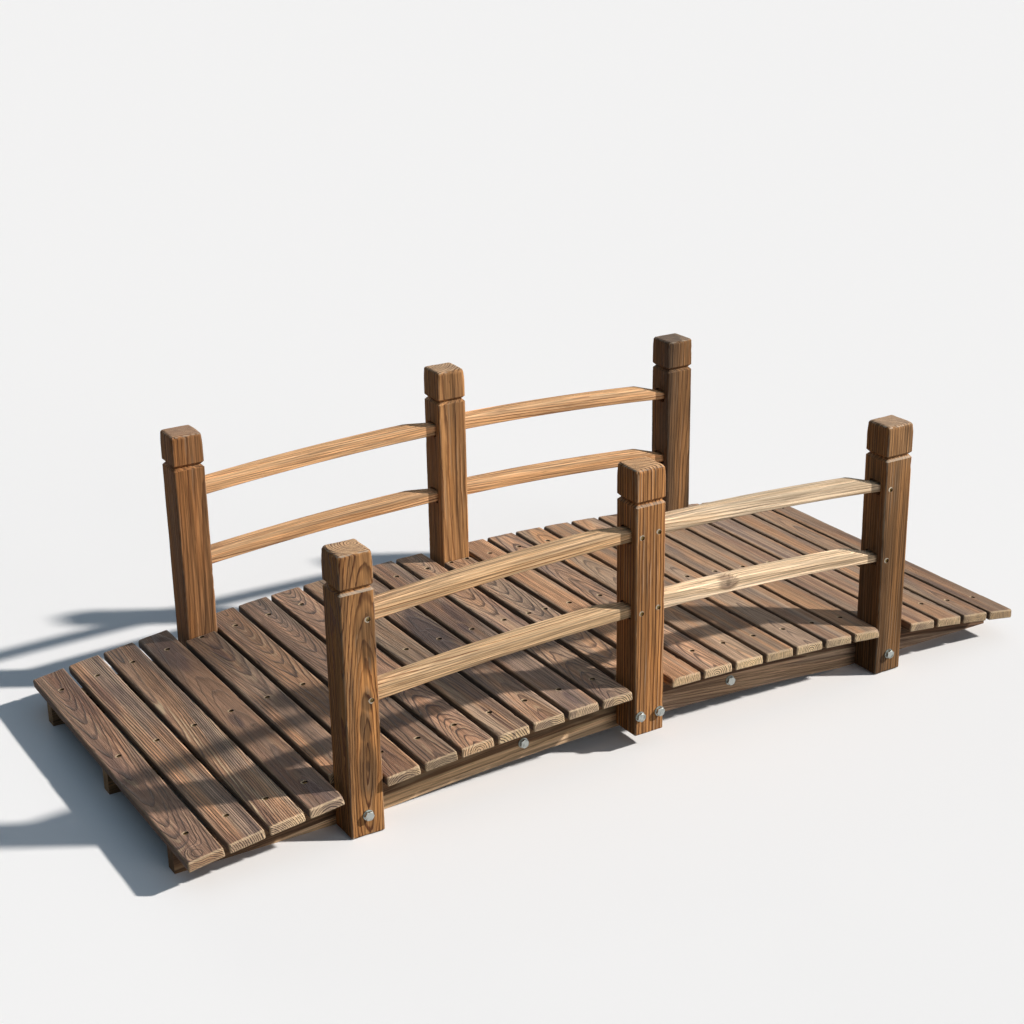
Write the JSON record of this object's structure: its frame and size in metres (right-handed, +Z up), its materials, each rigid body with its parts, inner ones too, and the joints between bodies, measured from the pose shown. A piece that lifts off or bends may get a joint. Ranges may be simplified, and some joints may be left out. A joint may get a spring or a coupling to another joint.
{
  "type": "arched wooden footbridge",
  "caption": "Small arched garden footbridge with a slatted deck, grooved square posts and curved double rails on both sides.",
  "frame": {"origin": "on the ground, midway along and midway across the bridge", "axes": "+X along the bridge towards the picture's far right-hand end, +Y across it to the back railing, +Z up"},
  "size_m": [1.529, 0.67, 0.4604],
  "materials": {
    "deck_boards": "dark stained fir with raised grain",
    "posts": "red-brown stained fir, striped grain",
    "rails": "lighter stained fir",
    "beams": "brown stained fir"
  },
  "bodies": {
    "root": {"beam_back_left": "beams", "beam_back_right": "beams", "beam_front_left": "beams", "beam_front_right": "beams", "beam_middle_left": "beams", "beam_middle_right": "beams", "cross_member_left": "beams", "cross_member_right": "beams", "deck_board_01": "deck_boards", "deck_board_02": "deck_boards", "deck_board_03": "deck_boards", "deck_board_04": "deck_boards", "deck_board_05": "deck_boards", "deck_board_06": "deck_boards", "deck_board_07": "deck_boards", "deck_board_08": "deck_boards", "deck_board_09": "deck_boards", "deck_board_10": "deck_boards", "deck_board_11": "deck_boards", "deck_board_12": "deck_boards", "deck_board_13": "deck_boards", "deck_board_14": "deck_boards", "deck_board_15": "deck_boards", "deck_board_16": "deck_boards", "deck_board_17": "deck_boards", "deck_board_18": "deck_boards", "deck_board_19": "deck_boards", "deck_board_20": "deck_boards", "deck_board_21": "deck_boards", "deck_board_22": "deck_boards", "deck_board_23": "deck_boards", "deck_board_24": "deck_boards", "deck_board_25": "deck_boards", "post_back_left": "posts", "post_back_middle": "posts", "post_back_right": "posts", "post_front_left": "posts", "post_front_middle": "posts", "post_front_right": "posts", "rail_back_left_lower": "rails", "rail_back_left_upper": "rails", "rail_back_right_lower": "rails", "rail_back_right_upper": "rails", "rail_front_left_lower": "rails", "rail_front_left_upper": "rails", "rail_front_right_lower": "rails", "rail_front_right_upper": "rails"}
  },
  "joints": []
}
